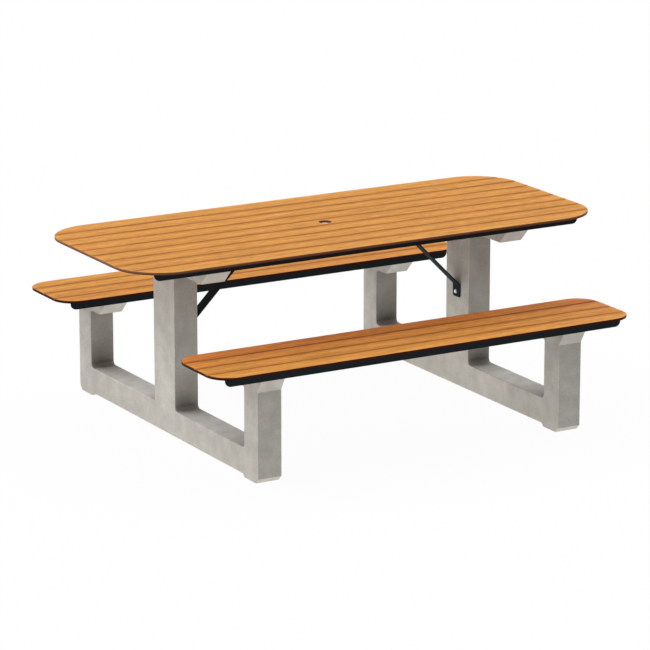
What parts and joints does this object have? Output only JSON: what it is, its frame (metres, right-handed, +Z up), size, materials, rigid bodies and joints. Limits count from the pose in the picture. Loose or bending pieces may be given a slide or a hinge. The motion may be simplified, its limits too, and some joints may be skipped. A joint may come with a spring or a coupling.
{
  "type": "picnic table with attached benches",
  "caption": "Outdoor picnic table with a bench on each long side: cast concrete end frames carry grooved wood-look boards on black steel rails, stiffened by diagonal braces.",
  "frame": {"origin": "on the ground, under the middle of the tabletop", "axes": "+X along the tabletop, +Y across it from the front bench to the back bench, +Z up"},
  "size_m": [2.042, 1.6016, 0.75],
  "materials": {
    "concrete": "fair-faced cast concrete, matt",
    "wood_decor_laminate": "satin wood-look board with fine grain and dark milled grooves",
    "black_powder_coat": "black powder coat, fine texture",
    "zinc_plate": "bright zinc plate"
  },
  "bodies": {
    "root": {"end_frame_left": "concrete", "end_frame_right": "concrete", "tabletop": "wood_decor_laminate", "bench_seat_front": "wood_decor_laminate", "bench_seat_back": "wood_decor_laminate", "table_rail_front": "black_powder_coat", "table_rail_back": "black_powder_coat", "front_bench_rail_outer": "black_powder_coat", "front_bench_rail_inner": "black_powder_coat", "back_bench_rail_outer": "black_powder_coat", "back_bench_rail_inner": "black_powder_coat", "brace_left": "black_powder_coat", "brace_right": "black_powder_coat", "table_rail_front_anchor_left": "zinc_plate", "table_rail_front_anchor_right": "zinc_plate", "table_rail_front_screw_1": "zinc_plate", "table_rail_front_screw_2": "zinc_plate", "table_rail_front_screw_3": "zinc_plate", "table_rail_front_screw_4": "zinc_plate", "table_rail_back_anchor_left": "zinc_plate", "table_rail_back_anchor_right": "zinc_plate", "table_rail_back_screw_1": "zinc_plate", "table_rail_back_screw_2": "zinc_plate", "table_rail_back_screw_3": "zinc_plate", "table_rail_back_screw_4": "zinc_plate", "front_bench_rail_outer_anchor_left": "zinc_plate", "front_bench_rail_outer_anchor_right": "zinc_plate", "front_bench_rail_outer_screw_1": "zinc_plate", "front_bench_rail_outer_screw_2": "zinc_plate", "front_bench_rail_outer_screw_3": "zinc_plate", "front_bench_rail_outer_screw_4": "zinc_plate", "front_bench_rail_inner_anchor_left": "zinc_plate", "front_bench_rail_inner_anchor_right": "zinc_plate", "front_bench_rail_inner_screw_1": "zinc_plate", "front_bench_rail_inner_screw_2": "zinc_plate", "front_bench_rail_inner_screw_3": "zinc_plate", "front_bench_rail_inner_screw_4": "zinc_plate", "back_bench_rail_outer_anchor_left": "zinc_plate", "back_bench_rail_outer_anchor_right": "zinc_plate", "back_bench_rail_outer_screw_1": "zinc_plate", "back_bench_rail_outer_screw_2": "zinc_plate", "back_bench_rail_outer_screw_3": "zinc_plate", "back_bench_rail_outer_screw_4": "zinc_plate", "back_bench_rail_inner_anchor_left": "zinc_plate", "back_bench_rail_inner_anchor_right": "zinc_plate", "back_bench_rail_inner_screw_1": "zinc_plate", "back_bench_rail_inner_screw_2": "zinc_plate", "back_bench_rail_inner_screw_3": "zinc_plate", "back_bench_rail_inner_screw_4": "zinc_plate", "brace_left_bolt": "zinc_plate", "brace_left_screw_1": "zinc_plate", "brace_left_screw_2": "zinc_plate", "brace_right_bolt": "zinc_plate", "brace_right_screw_1": "zinc_plate", "brace_right_screw_2": "zinc_plate"}
  },
  "joints": []
}
